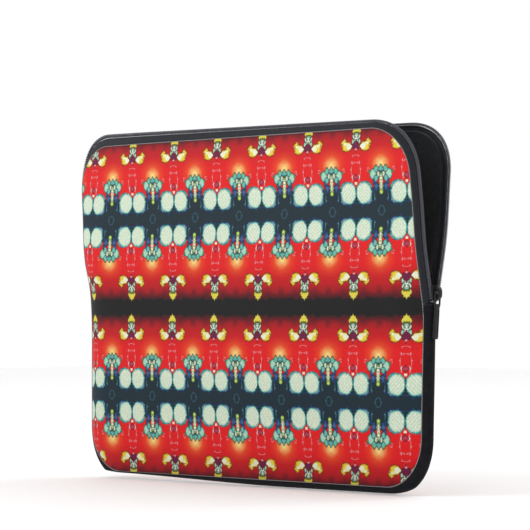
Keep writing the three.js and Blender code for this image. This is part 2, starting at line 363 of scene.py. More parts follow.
class Graph:
    """A material's nodes. Each call adds one node and returns the socket that holds its result."""

    def __init__(self, name, roughness, specular):
        self.material = bpy.data.materials.new(name)
        self.material.use_nodes = True
        self.tree = self.material.node_tree
        self.shader = self.tree.nodes["Principled BSDF"]
        self.set("Roughness", roughness)
        self.set("Specular IOR Level", specular)

    def set(self, socket, value):
        self.feed(self.shader.inputs[socket], value)

    def feed(self, socket, value):
        if isinstance(value, bpy.types.NodeSocket):
            self.tree.links.new(value, socket)
        elif value is not None:
            socket.default_value = value

    def node(self, kind, inputs=(), output=0, **settings):
        node = self.tree.nodes.new(kind)
        for key, value in settings.items():
            setattr(node, key, value)
        for socket, value in zip(node.inputs, inputs):
            self.feed(socket, value)
        return node.outputs[output]

    def math(self, operation, *inputs, clamp=False):
        return self.node("ShaderNodeMath", inputs, operation=operation, use_clamp=clamp)

    def times(self, value, factor):
        return self.math("MULTIPLY", value, factor)

    def linear(self, value, slope, offset, clamp=False):
        """The value times slope, plus offset."""
        return self.math("MULTIPLY_ADD", value, slope, offset, clamp=clamp)

    def vector(self, operation, *inputs, output=0):
        return self.node("ShaderNodeVectorMath", inputs, output=output, operation=operation)

    def combine(self, x, y, z=0.0):
        return self.node("ShaderNodeCombineXYZ", (x, y, z))

    def separate(self, vector):
        return tuple(self.node("ShaderNodeSeparateXYZ", (vector,)).node.outputs)

    def blend(self, share, below, above):
        inputs = (share, None, None, None, None, None, below, above)
        return self.node("ShaderNodeMix", inputs, output=2, data_type="RGBA")

    def flat(self):
        """The place on the uncut cloth, in millimetres."""
        return self.node("ShaderNodeAttribute", output="Vector", attribute_name="flat")

    def place(self):
        """The place on the piece, in millimetres."""
        return self.scaled(self.node("ShaderNodeTexCoord", output="Object"), 1 / MM)

    def scaled(self, vector, factor):
        return self.vector("SCALE", vector, None, None, factor)

    def noise(self, vector, size, detail=2.0):
        """Smooth noise from 0 to 1 whose lumps are about size across."""
        inputs = (vector, None, 1.0 / size, detail)
        return self.node("ShaderNodeTexNoise", inputs)

    def bump(self, height, depth, strength=1.0):
        node = self.tree.nodes.new("ShaderNodeBump")
        node.inputs["Strength"].default_value = strength
        node.inputs["Distance"].default_value = depth * MM
        self.feed(node.inputs["Height"], height)
        self.set("Normal", node.outputs[0])

    def between(self, value, low, high):
        """0 where value is low or less, 1 where it is high or more."""
        slope = 1 / (high - low)
        return self.linear(value, slope, -low * slope, clamp=True)

    def weave(self, vector, warp, weft):
        """Height of a plain weave: threads warp apart across, and weft apart along."""
        x, y, _ = self.separate(vector)
        across = self.math("SINE", self.times(x, 2 * math.pi / warp))
        along = self.math("SINE", self.times(y, 2 * math.pi / weft))
        return self.times(across, along)


# The print: rows mirrored about every dark band, in columns that repeat across the panel.
COLUMN = 51.1
ROW = 76.5
ROW_HERE = 74.7
PRINT_ASIDE = 1.3
PRINT_LEAN = 11.0 / 120

RED = colour(232, 30, 34)
BRICK = colour(190, 26, 34)
WINE = colour(106, 24, 34)
BLACK = colour(26, 28, 30)
NAVY = colour(30, 48, 58)
INDIGO = colour(34, 66, 112)
DENIM = colour(58, 100, 160)
STEEL = colour(50, 92, 108)
TEAL = colour(44, 132, 142)
SEA = colour(112, 194, 178)
MINT = colour(172, 222, 196)
FROST = colour(240, 244, 218)
CREAM = colour(244, 244, 196)
YELLOW = colour(236, 214, 70)
LIME = colour(206, 226, 96)
GOLD = colour(214, 156, 30)
OLIVE = colour(58, 48, 24)
LEAF = colour(86, 158, 84)
PINK = colour(238, 150, 150)
ROSE = colour(196, 64, 86)
PLUM = colour(112, 30, 70)
FLAME = colour(248, 112, 44)
GLOW = colour(255, 240, 150)
# A pale tint mixed into the print near its top, as painted light.
PAINTED_TOP_HAZE = colour(226, 214, 206)

# Each ornament: its column ("stem" or "lamp"), its form, its centre and half sizes as (across the
# column, down from the black band), its colours in the middle and at the edge, and the colour of
# its outline where it has one. Across is counted both ways from the column. The ornaments follow the motifs
# of the real sleeve's print in their places, sizes and colours; its picture and lettering are left out.
ORNAMENTS = [
    ("lamp", "glow", (0, 38.6), (16.5, 15), (FLAME, FLAME)),
    ("lamp", "glow", (0, 39.4), (9.5, 8.5), (GLOW, GLOW)),
    ("stem", "diamond", (0, 11.6), (4.6, 5.6), (LIME, YELLOW), OLIVE),
    ("stem", "bar", (0, 11.2), (2.6, 3.4), (YELLOW, LIME)),
    ("stem", "oval", (3.0, 20.6), (1.3, 1.9), (MINT, SEA), OLIVE),
    ("stem", "oval", (2.6, 16.4), (1.3, 1.9), (FROST, SEA), OLIVE),
    ("stem", "chevrons", (0, 17.6), (1.9, 4.6), (FROST, LEAF), OLIVE),
    ("stem", "diamond", (0, 24), (5.2, 5.4), (PLUM, WINE)),
    ("stem", "oval", (12.6, 21.6), (2.9, 3.1), (YELLOW, GOLD), OLIVE),
    ("stem", "oval", (9.6, 24.6), (4.9, 3.9), (YELLOW, GOLD), OLIVE),
    ("stem", "oval", (7.2, 24.4), (2.9, 2.5), (FROST, CREAM)),
    ("stem", "oval", (11.2, 22.4), (2.2, 1.6), (CREAM, YELLOW)),
    ("stem", "diamond", (0, 27.0), (2.4, 1.4), (PINK, ROSE)),
    ("stem", "arc", (0, 33.4), (3.2, 2.2), (PINK, ROSE)),
    ("stem", "bar", (0, 37.8), (3.6, 0.28), (PINK, ROSE)),
    ("stem", "oval", (3.9, 37.8), (0.7, 1.1), (PINK, PINK)),
    ("stem", "line", (4.6, 44.4), (0.34, 4.4), (PINK, ROSE)),
    ("stem", "diamond", (0, 49.4), (3.0, 2.6), (ROSE, PLUM), WINE),
    ("stem", "line", (3.4, 49.6), (0.5, 1.9), (FROST, PINK)),
    ("stem", "oval", (10.8, 66.4), (5.2, 4.8), (MINT, DENIM), INDIGO),
    ("stem", "oval", (10.6, 57.6), (5.4, 4.4), (MINT, TEAL), NAVY),
    ("stem", "hatched", (8.0, 62.0), (7.7, 8.7), (FROST, SEA), TEAL),
    ("stem", "oval", (0, 54.2), (0.8, 1.1), (FROST, CREAM)),
    ("lamp", "oval", (6.4, 52.6), (1.7, 2.8), (DENIM, INDIGO), NAVY),
    ("lamp", "oval", (5.0, 57.2), (2.0, 3.0), (DENIM, INDIGO), NAVY),
    ("lamp", "oval", (6.9, 60.4), (1.2, 2.6), (INDIGO, NAVY)),
    ("lamp", "line", (6.6, 66.0), (0.3, 2.4), (SEA, DENIM)),
    ("lamp", "ring", (12.6, 43.4), (1.2, 1.6), (PINK, ROSE)),
    ("lamp", "diamond", (10.8, 45.6), (1.4, 1.6), (LEAF, LEAF), NAVY),
    ("lamp", "oval", (7.9, 47.4), (2.9, 3.8), (MINT, SEA), NAVY),
    ("lamp", "oval", (5.0, 50.8), (2.0, 2.4), (SEA, TEAL), NAVY),
    ("lamp", "oval", (4.6, 43.2), (2.2, 2.4), (SEA, LEAF), NAVY),
    ("lamp", "diamond", (0, 43.6), (3.2, 3.6), (SEA, TEAL), NAVY),
    ("lamp", "oval", (2.6, 47.6), (1.2, 1.8), (FROST, SEA), NAVY),
    ("lamp", "chevrons", (0, 54.0), (1.6, 7.0), (CREAM, LIME), NAVY),
    ("lamp", "oval", (0, 62.0), (1.8, 1.8), (LIME, LEAF), NAVY),
    ("lamp", "ring", (0, 75.6), (3.2, 2.6), (STEEL, STEEL)),
    ("stem", "arc", (0, 73.0), (6.4, 2.8), (INDIGO, INDIGO)),
]
SHARPNESS = 0.6
OUTLINE = 0.55
# How much of the light the printed colours return.
INK = 0.76


def ornament_distance(g, form, place, centre, size):
    """How far out from an ornament's centre, with its edge at 1."""
    inverse = (1 / size[0], 1 / size[1], 0)
    offset = (-centre[0] / size[0], -centre[1] / size[1], 0)
    scaled = g.vector("MULTIPLY_ADD", place, inverse, offset)
    if form == "diamond":
        return g.vector("DOT_PRODUCT", g.vector("ABSOLUTE", scaled), (1, 1, 0), output=1)
    if form in ("bar", "line", "chevrons"):
        across, down, _ = g.separate(g.vector("ABSOLUTE", scaled))
        return g.math("MAXIMUM", across, down)
    length = g.vector("LENGTH", scaled, output=1)
    if form not in ("ring", "arc"):
        return length
    aside = g.math("ABSOLUTE", g.math("SUBTRACT", length, 1))
    if form == "ring":
        return g.linear(aside, 3, 0.4)
    upper = g.linear(g.separate(scaled)[1], 1.4, 0.9)
    return g.math("MAXIMUM", g.linear(aside, 4, 0.4), upper)


def ornament(g, shade, place, form, centre, size, tints, outline=None):
    """Draws one ornament of the print over the shade that is already there."""
    distance = ornament_distance(g, form, place, centre, size)
    if form == "glow":
        share = g.math("POWER", g.math("SUBTRACT", 1.0, distance, clamp=True), 1.5)
        return g.blend(share, shade, tints[0])
    slope = min(size) / SHARPNESS
    if outline is not None:
        reach = slope * (1 + OUTLINE / min(size)) + 0.5
        shade = g.blend(g.linear(distance, -slope, reach, clamp=True), shade, outline)
    spread = -6.0 if form == "hatched" else -2.4
    tint = g.blend(g.linear(distance, spread, -spread, clamp=True), tints[1], tints[0])
    if form in ("chevrons", "hatched"):
        tint = striped(g, form, place, tint)
    return g.blend(g.linear(distance, -slope, slope + 0.5, clamp=True), shade, tint)


def striped(g, form, place, tint):
    """An ornament's colour with its chevrons or its fine slanting lines."""
    across, down, _ = g.separate(place)
    if form == "chevrons":
        stripe = g.math("PINGPONG", g.linear(across, 0.8, down), 1.1)
        return g.blend(g.between(stripe, 0.25, 0.6), TEAL, tint)
    line = g.math("PINGPONG", g.linear(across, -1.1, down), 1.75)
    return g.blend(g.times(g.between(line, 0.2, 1.3), 0.4), tint, SEA)


def print_row(g, z):
    """How far a point is from the nearest black band, with the row's height made ROW."""
    down = g.math("PINGPONG", z, ROW_HERE)
    return g.times(down, ROW / ROW_HERE)


def print_ground(g, down, place):
    """The print's ground: black, through wine and brick to red, and then navy."""
    ramp = g.tree.nodes.new("ShaderNodeValToRGB")
    stops = [(0.085, BLACK), (0.135, WINE), (0.24, BRICK), (0.46, RED)]
    while len(ramp.color_ramp.elements) < len(stops):
        ramp.color_ramp.elements.new(0.5)
    for element, (position, tint) in zip(ramp.color_ramp.elements, stops):
        element.position = position
        element.color = tint
    cloud = g.noise(place, 9.0)
    uneven = g.linear(g.math("SUBTRACT", cloud, 0.5), 9.0, down)
    g.feed(ramp.inputs[0], g.times(uneven, 1 / ROW))
    edge = g.linear(g.math("SUBTRACT", cloud, 0.5), 7.0, down)
    return g.blend(g.between(edge, 56.0, 59.0), ramp.outputs[0], NAVY)


def knit_print():
    """An all-over print of ovals, diamonds, bars and chevrons on a fine knit, laid out as the real
    sleeve's print is."""
    g = Graph("knit_print", roughness=0.8, specular=0.12)
    flat = g.flat()
    x, z, _ = g.separate(flat)
    down = print_row(g, z)
    across = g.math("PINGPONG", g.math("SUBTRACT", x, COLUMN / 2), COLUMN / 2)
    other = g.math("SUBTRACT", COLUMN / 2, across)
    cloud = g.node("ShaderNodeTexNoise", (g.combine(across, down), None, 0.5, 3.0), output=1)
    rough = g.scaled(g.vector("SUBTRACT", cloud, (0.5, 0.5, 0.5)), 3.6)
    columns = {
        "stem": g.vector("ADD", g.combine(across, down), rough),
        "lamp": g.vector("ADD", g.combine(other, down), rough),
    }
    shade = print_ground(g, down, columns["stem"])
    for column, *drawing in ORNAMENTS:
        shade = ornament(g, shade, columns[column], *drawing)
    # Painted light: the print is made darker towards the bottom and paler towards the top, and a pale haze
    # is mixed in near the top, for the light on its upper part; the noise in the same factor is random
    # tone.
    upward = g.between(z, -140, 140)
    paler = g.linear(upward, 0.16, 0.77)
    mottle_and_painted_light = g.times(g.linear(g.noise(flat, 1.6, 3.0), 0.3, paler), INK)
    shade = g.vector("MULTIPLY", shade, g.combine(mottle_and_painted_light, mottle_and_painted_light, mottle_and_painted_light))
    shade = g.blend(g.times(upward, 0.016), shade, PAINTED_TOP_HAZE)
    g.set("Base Color", shade)
    knit = g.weave(flat, 1.1, 0.9)
    lumps = g.noise(flat, 1.4, 3.0)
    g.bump(g.linear(knit, 0.5, lumps), 0.12, 0.5)
    g.set("Sheen Weight", 0.05)
    g.set("Sheen Roughness", 0.45)
    return g.material


def shaded(tint, factor):
    """A colour made darker or lighter."""
    return tuple(channel * factor for channel in tint[:3]) + (1.0,)


def soft_black(name, tint, warp=0.9, weft=0.9, depth=0.12, sheen=0.12):
    """A dark knit or weave: its threads, their uneven colour and a little sheen."""
    g = Graph(name, roughness=0.86, specular=0.1)
    flat = g.flat()
    threads = g.weave(flat, warp, weft)
    patches = g.noise(flat, 5.0, 4.0)
    shade = g.between(g.linear(threads, 0.22, patches), 0.25, 0.8)
    g.set("Base Color", g.blend(shade, shaded(tint, 0.55), shaded(tint, 1.5)))
    g.bump(g.linear(threads, 0.6, g.noise(flat, 1.2, 3.0)), depth, 0.7)
    g.set("Sheen Weight", sheen)
    g.set("Sheen Roughness", 0.4)
    return g.material


def twill_tape():
    """Woven zip tape: a herringbone of fine diagonal threads."""
    g = Graph("twill_tape", roughness=0.8, specular=0.25)
    flat = g.flat()
    along, across, _ = g.separate(flat)
    zigzag = g.math("PINGPONG", across, 1.2)
    ribs = g.math("PINGPONG", g.math("ADD", along, zigzag), 0.35)
    height = g.times(ribs, 2.8)
    shade = g.linear(height, 0.6, g.noise(flat, 3.0, 3.0))
    g.set("Base Color", g.blend(g.between(shade, 0.3, 1.3), colour(10, 12, 16), colour(28, 31, 39)))
    g.bump(height, 0.12, 0.8)
    g.set("Sheen Weight", 0.15)
    return g.material


def closed_foam():
    g = Graph("closed_cell_foam", roughness=0.95, specular=0.15)
    cells = g.node("ShaderNodeTexVoronoi", (g.place(), None, 1.6))
    g.set("Base Color", g.blend(cells, colour(24, 25, 28), colour(52, 53, 57)))
    g.bump(cells, 0.15, 0.6)
    return g.material


def raw_edge():
    """The pale cut edge of the printed knit, with its loops."""
    g = Graph("raw_knit_edge", roughness=0.9, specular=0.15)
    flat = g.flat()
    loops = g.noise(flat, 0.9, 3.0)
    g.set("Base Color", g.blend(g.between(loops, 0.3, 0.7), colour(92, 90, 92), colour(168, 164, 164)))
    g.bump(loops, 0.2, 0.8)
    return g.material


def nylon(name, tint, roughness):
    """Drawn nylon: smooth, with faint streaks."""
    g = Graph(name, roughness=roughness, specular=0.45)
    place = g.place()
    streaks = g.noise(place, 2.5, 2.0)
    g.set("Base Color", g.blend(streaks, tint, shaded(tint, 1.8)))
    g.bump(g.noise(place, 0.5, 2.0), 0.03, 0.4)
    return g.material


def black_enamel():
    """Baked enamel on cast metal, rubbed a little paler in fine patches."""
    g = Graph("black_enamel", roughness=0.4, specular=0.22)
    place = g.place()
    rubbed = g.between(g.noise(place, 1.8, 5.0), 0.56, 0.74)
    g.set("Base Color", g.blend(rubbed, colour(7, 7, 9), colour(20, 20, 22)))
    g.set("Roughness", g.linear(g.noise(place, 3.0, 3.0), 0.25, 0.28))
    g.bump(g.noise(place, 0.8, 2.0), 0.04, 0.5)
    g.set("Coat Weight", 0.1)
    g.set("Coat Roughness", 0.15)
    return g.material


def plain(name, tint, roughness):
    g = Graph(name, roughness=roughness, specular=0.2)
    grain = g.noise(g.place(), 60.0, 2.0)
    g.set("Base Color", g.blend(grain, tint, shaded(tint, 0.985)))
    return g.material


PRINT = knit_print()
BAND = soft_black("edge_band_knit", colour(20, 21, 25), sheen=0.08)
INSIDE = soft_black("lining_knit", colour(27, 28, 31), 1.4, 1.2, 0.16, 0.2)
FOAM_CELLS = closed_foam()
EDGE = raw_edge()
TAPE = twill_tape()
# Painted light: the coil's nylon is a paler grey than the black it really is, for the highlights on its
# turns, and the filler cord is near black, for the shade in the gaps between them; the stops share the
# coil's paler nylon.
NYLON_PAINTED_HIGHLIGHT = nylon("nylon_coil", colour(70, 70, 78), 0.26)
CORD_PAINTED_SHADE = nylon("filler_cord", colour(6, 6, 8), 0.8)
THREAD = nylon("sewing_thread", colour(42, 44, 50), 0.6)
ENAMEL = black_enamel()


# ---- the panels ----
def panel_lines(half, step):
    """Grid lines over one side of a panel, closer together near its rolled edges."""
    insets = np.array([0, 0.5, 1.1, 2, 3.1, 4.5, 6.2, 8.2, 10.5, 13.2, 16.3, 19.8, 23.6, 27.7, 32])
    radius = CORNER - SEAM_INSET
    inner = half - radius
    middle = np.linspace(-inner, inner, round(2 * inner / step) + 1)
    return np.concatenate([insets - half, middle, (half - insets)[::-1]])


def rounded_corner(x, z, half_x, half_z):
    """Squares the grid's corner onto a round one: each square ring becomes an arc."""
    radius = CORNER - SEAM_INSET
    over_x = np.abs(x) - (half_x - radius)
    over_z = np.abs(z) - (half_z - radius)
    inside = (over_x > 0) & (over_z > 0)
    larger = np.maximum(over_x, over_z)
    smaller = np.minimum(over_x, over_z)
    angle = np.where(inside, smaller / np.where(inside, larger, 1), 0) * math.pi / 4
    near, far = larger * np.cos(angle), larger * np.sin(angle)
    flatter = over_x >= over_z
    new_x = np.where(flatter, near, far) + half_x - radius
    new_z = np.where(flatter, far, near) + half_z - radius
    x = np.where(inside, np.sign(x) * new_x, x)
    z = np.where(inside, np.sign(z) * new_z, z)
    inset = np.where(inside, radius - larger, radius - np.maximum(over_x, over_z))
    return x, z, inset


def panel_grid(face, step=4.6):
    """The panel's outer side with the mouth closed, and its place on the uncut cloth."""
    half_x = HALF_WIDTH - SEAM_INSET
    half_z = HEIGHT / 2 - SEAM_INSET
    lines_x = panel_lines(half_x, step)
    lines_z = panel_lines(half_z, step)
    x, z = np.meshgrid(lines_x, lines_z, indexing="ij")
    x, z, inset = rounded_corner(x, z, half_x, half_z)
    z = z + HEIGHT / 2
    height = above_fold(np.stack([x, face * np.ones(x.shape), z], -1), face)
    left = np.clip(1 - inset / MARGIN, 0, 1)
    rise = RISE + bulge(x, z) - HOLLOW * smooth(height, 0, 80)
    depth = SEAM_DEPTH + rise * (1 - left ** 3) + soft_waves(x, z) * (1 - left)
    points = np.stack([x, face * depth, z], -1)
    flat = np.zeros(points.shape)
    lean = PRINT_LEAN * np.clip(height, 0, None)
    rolled = rise * np.clip(1 - (z - SEAM_INSET) / MARGIN, 0, 1) ** 3
    flat[..., 0] = uncut(x, half_x) - lean + rolled + PRINT_ASIDE
    flat[..., 1] = uncut(z - HEIGHT / 2, half_z)
    return points, flat


def smooth(value, low, high):
    """0 up to low and 1 from high, with a smooth rise between them."""
    share = np.clip((value - low) / (high - low), 0, 1)
    return share * share * (3 - 2 * share)


def bulge(x, z):
    """How far the shell stands out where the laptop lies, in millimetres."""
    tall = (1 + np.cos(math.pi * np.clip((z - BULGE["z"]) / BULGE["reach_z"], -1, 1))) / 2
    wide = 0.15 + 0.85 * np.exp(-(((x - BULGE["x"]) / BULGE["reach_x"]) ** 2))
    return BULGE["rise"] * tall * wide


def soft_waves(x, z):
    """Slow unevenness of the foam, in millimetres."""
    return (
        0.28 * np.sin(x / 31 + 0.7) * np.sin(z / 27 + 0.3)
        + 0.18 * np.sin(x / 17 - z / 23 + 1.9)
        + 0.12 * np.sin(x / 11 + z / 15)
    )


def uncut(place, half):
    """A place across a panel, with the length added that its rolled edge takes up."""
    slope = 3 * RISE / MARGIN
    extra = slope * slope * MARGIN / 10
    left = np.clip(1 - (half - np.abs(place)) / MARGIN, 0, 1)
    return place + np.sign(place) * extra * left ** 5


def grid_normals(points, face):
    """The outward normals of a grid of points, towards the front or the back."""
    along = np.gradient(points, axis=0)
    across = np.gradient(points, axis=1)
    normals = unit(np.cross(along, across))
    return normals * np.where(np.sign(normals[..., 1:2]) == face, 1, -1)


def swollen(face, surface):
    """The panel's outer side after a cloth simulation in which its foam presses it out. Its edge is
    sewn fast, and no point moves further than MOST_SWELL from where it starts."""
    start = opened(surface, face)
    rows, columns = surface.shape[:2]
    cloth = new_piece("settling_panel", start, grid_faces(rows, columns), PRINT)
    index = np.arange(rows * columns).reshape(rows, columns)
    sewn = np.unique(np.concatenate([index[0], index[-1], index[:, 0], index[:, -1]]))
    cloth.vertex_groups.new(name="sewn").add(sewn.tolist(), 1.0, "REPLACE")
    modifier = cloth.modifiers.new("cloth", "CLOTH")
    settings = modifier.settings
    for name, value in CLOTH.items():
        setattr(settings, name, value)
    settings.vertex_group_mass = "sewn"
    settings.effector_weights.gravity = 0
    scene = bpy.context.scene
    for number in range(1, CLOTH_FRAMES + 1):
        scene.frame_set(number)
    depsgraph = bpy.context.evaluated_depsgraph_get()
    result = np.zeros(rows * columns * 3)
    cloth.evaluated_get(depsgraph).data.vertices.foreach_get("co", result)
    scene.frame_set(1)
    bpy.data.objects.remove(cloth)
    moved = result.reshape(rows, columns, 3) / MM - (CENTRE_X, 0, 0) - start
    out = np.sum(moved * grid_normals(start, face), axis=2)
    out = MOST_SWELL * np.tanh(out / MOST_SWELL)
    return surface + grid_normals(surface, face) * out[..., None]


def layer_piece(name, face, panel_side, depth, thickness, material):
    """One layer of a panel, as a closed sheet whose outer side is at this depth."""
    surface, flat = panel_side
    normals = grid_normals(surface, face)
    outer = opened(surface - normals * depth, face)
    inner = opened(surface - normals * (depth + thickness), face)
    rows, columns = outer.shape[:2]
    count = rows * columns
    faces = grid_faces(rows, columns) + grid_faces(rows, columns, first=count)
    index = np.arange(count).reshape(rows, columns)
    edge = np.concatenate([index[0, :-1], index[:-1, -1], index[-1, :0:-1], index[:0:-1, 0]])
    after = np.roll(edge, -1)
    faces += np.stack([edge, after, after + count, edge + count], -1).tolist()
    points = np.concatenate([outer.reshape(-1, 3), inner.reshape(-1, 3)])
    return new_piece(name, points, faces, material, np.concatenate([flat.reshape(-1, 3)] * 2))


def panel(face):
    """The printed knit, the foam and the lining of the front or the back."""
    label = label_of(face)
    surface, flat = panel_grid(face)
    surface = swollen(face, surface)
    side = (surface, flat)
    knit = layer_piece(label + "_printed_knit", face, side, 0, KNIT, PRINT)
    foam = layer_piece(label + "_foam_core", face, side, KNIT + LAYER_GAP, FOAM, FOAM_CELLS)
    depth = KNIT + FOAM + 2 * LAYER_GAP
    lining = layer_piece(label + "_lining", face, side, depth, LINING, INSIDE)
    for piece, node, slot in ((knit, "face", "print_knit"), (foam, "foam", "foam"),
                              (lining, "lining", "lining_knit")):
        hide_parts(f"{label}_{node}_lower", f"{label}_{node}_upper")
        bend_with_flap(piece)
    seam_edge(face)


def seam_edge(face):
    """The pale cut edge of the knit, showing as a fine scalloped line between print and band."""
    over = rim(1, 150, 150, 0.5)
    under = rim(-1, 150, 150, 0.5)[::-1]
    loop = np.vstack([over, under[1:-1]])
    pitch, steps = 2.3, 6
    length = line_length(loop[:, :2])
    stations = resampled(loop, pitch / steps)[:-1]
    wave = np.abs(np.sin(np.arange(len(stations)) * math.pi / steps))
    radius = 0.2 + 0.2 * wave
    angles = round_angles(6)
    out = -SEAM_INSET + 0.15 + radius[:, None] * np.cos(angles)
    y = face * (SEAM_DEPTH + 0.1) + radius[:, None] * np.sin(angles)
    points = opened(placed(stations, out, y), face)
    rows, columns = points.shape[:2]
    faces = grid_faces(rows, columns, wrap=True, loop=True)
    flat = np.zeros(points.shape)
    flat[..., 0] = np.linspace(0, length, rows)[:, None]
    flat[..., 1] = angles
    piece = new_piece(label_of(face) + "_seam_edge", points, faces, EDGE, flat)
    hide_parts(label_of(face) + "_seam_edge_lower", label_of(face) + "_seam_edge_upper")
    return bend_with_flap(piece)


# ---- the edge band ----
def band_section(skin_out, skin_in):
    """The band's section between two depths below its outer side."""
    outer = arch(BAND_BASE, BAND_REACH - skin_out, SEAM_DEPTH - skin_out)
    inner = arch(BAND_BASE, BAND_REACH - skin_in, SEAM_DEPTH - skin_in)
    return np.vstack([outer, inner[::-1]])


def edge_band():
    path = rim(-1, TAB_LOW + 0.3, TAB_LOW + LEFT_RISE + 0.3, 3.0)
    skin = settled(loft(path, band_section(0, BAND_SKIN)))
    inside = settled(loft(path, band_section(BAND_SKIN + 0.1, BAND_SKIN + 0.6)))
    band = swept_piece("edge_band", skin, BAND)
    lining = swept_piece("edge_band_lining", inside, INSIDE)
    for piece, node, slot in ((band, "gusset_band", "edge_band"),
                              (lining, "gusset_lining", "lining_knit")):
        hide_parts(node)
        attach(piece, "shell")


def end_tab(hand, label):
    """The band's folded end over the start of the zip, held by a row of stitches."""
    stations = side_piece(hand, TAB_LOW - 1.5, TAB_TOP, 0.5)
    section = band_section(0, 1.0)
    count = len(section) // 2
    points = loft(stations, section)
    share = np.linspace(0, 1, len(stations))
    swell = 0.35 + 0.35 * np.sqrt(np.clip(1 - (2 * share - 1) ** 6, 0, 1))
    centre = np.array([stations[0, 0] - hand * SEAM_INSET, 0])
    flat_part = points[..., :2] - centre
    reach = np.linalg.norm(flat_part, axis=2)[..., None]
    outside = np.zeros(points.shape[:2])
    outside[:, :count] = 1
    points[..., :2] += flat_part / reach * (swell[:, None] * outside)[..., None]
    tab = swept_piece(label, settled(points), BAND)
    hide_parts("zip_end_tab_right" if hand > 0 else "zip_end_tab_left")
    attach(tab, "shell")
    stitches = tab_stitches(hand, label + "_stitches")
    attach(stitches, "shell")


def stitch_grid(start, end, radius, rise):
    """Rings of one stitch: a short thread that dips into the cloth at both ends."""
    share = np.linspace(0, 1, 6)
    line = np.outer(1 - share, start) + np.outer(share, end)
    line += np.outer(np.sin(share * math.pi) * 0.8, rise)
    thickness = radius * (0.55 + 0.45 * np.sin(share * math.pi))
    direction = unit(end - start)
    side = np.cross(direction, unit(rise))
    up = np.cross(side, direction)
    angles = round_angles(6)
    circle = np.outer(np.cos(angles), side) + np.outer(np.sin(angles), up)
    return line[:, None, :] + circle[None] * thickness[:, None, None]


def joined_rings(name, many, material, loop=False):
    """One piece from many tubes, each a grid of rings: with flat ends, or closed on itself by loop."""
    points, faces = [], []
    for rings in many:
        first = sum(len(p) for p in points)
        rows, columns = rings.shape[:2]
        points.append(rings.reshape(-1, 3))
        faces += grid_faces(rows, columns, wrap=True, first=first, loop=loop)
        for end in () if loop else (first, first + (rows - 1) * columns):
            faces.append(list(range(end, end + columns)))
    return new_piece(name, np.vstack(points), faces, material)


def tab_stitches(hand, name):
    """Stitches across the tab, a little below its folded end."""
    z = TAB_TOP - 1.6 + (LEFT_RISE if hand < 0 else 0)
    above = 0.72
    line = arch(BAND_BASE, BAND_REACH + above, SEAM_DEPTH + above, 120)
    reach = reach_along(line)
    many = []
    for low in np.arange(0.8, reach[-1] - 2.4, 2.6):
        ends = [np.array([np.interp(low + d, reach, line[:, k]) for k in (0, 1)]) for d in (0, 1.8)]
        start, end = (np.array([hand * (HALF_WIDTH + out), y, z]) for out, y in ends)
        rise = (start + end) / 2 - (hand * (HALF_WIDTH + BAND_BASE), 0, z)
        rise[2] = 0
        many.append(settled(stitch_grid(start, end, 0.22, unit(rise) * 0.12)))
    return joined_rings(name, many, THREAD)


# ---- the zip ----
# From the lining, up the cut edge of the panel to its seam, and back in to under the coil.
TAPE_LINE = np.array([
    [-8.75, -1.0], [-8.5, -2.0], [-8.2, -3.0], [-7.85, -3.85], [-7.3, -4.3], [-6.2, -4.2],
    [-5.0, -3.75], [-3.9, -3.2], [-3.1, -2.7], [-2.7, -2.2], [-2.55, -1.4], [-2.5, -0.5],
])
TAPE_THICKNESS = 0.5
COIL_CENTRE = (-1.1, -1.45)
COIL_HALF = (1.15, 1.25)
CORD_RADIUS = 0.55
# Where the coil is sewn to the front's tape, as [outward, y].
SEWING = (-3.05, -2.78)
# The wire's radius, and how much thicker it is pressed where two coils mesh.
WIRE = 0.36
TOOTH_HEAD = 0.4


def beside(line, distance):
    """A line of [outward, y] points, moved sideways to its left by a distance."""
    ahead = unit(np.gradient(line, axis=0))
    return line + distance * np.stack([-ahead[:, 1], ahead[:, 0]], 1)


def zip_tape(face):
    """The woven tape from the print's edge to under the coil."""
    inner = beside(TAPE_LINE, TAPE_THICKNESS)
    section = faced(np.vstack([TAPE_LINE, inner[::-1]]), face)
    path = rim(1, TAPE_START, TAPE_START + LEFT_RISE, 3.0)
    tape = swept_piece(label_of(face) + "_tape", opened(loft(path, section), face), TAPE)
    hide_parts(label_of(face) + "_zip_tape")
    bend_with_flap(tape)
    stitches = tape_stitches(face)


def tape_stitches(face):
    """The row of sewing that holds the coil on its tape."""
    pitch, length = 2.1, 1.5
    path = rim(1, COIL_START + 1, COIL_START + LEFT_RISE + 1, pitch)
    many = []
    for x, z, nx, nz in path:
        out = rim_reach(x, nx, nz, SEWING[0])
        along = np.array([nz, 0, -nx]) * length / 2
        place = np.array([x + nx * out, -face * SEWING[1], z + nz * out])
        rise = np.array([nx * 0.55, face * 0.83, nz * 0.55])
        many.append(stitch_grid(place - along, place + along, 0.2, rise * 0.2))
    grids = [opened(rings, face) for rings in many]
    piece = joined_rings(label_of(face) + "_coil_stitches", grids, THREAD)
    return bend_with_flap(piece)


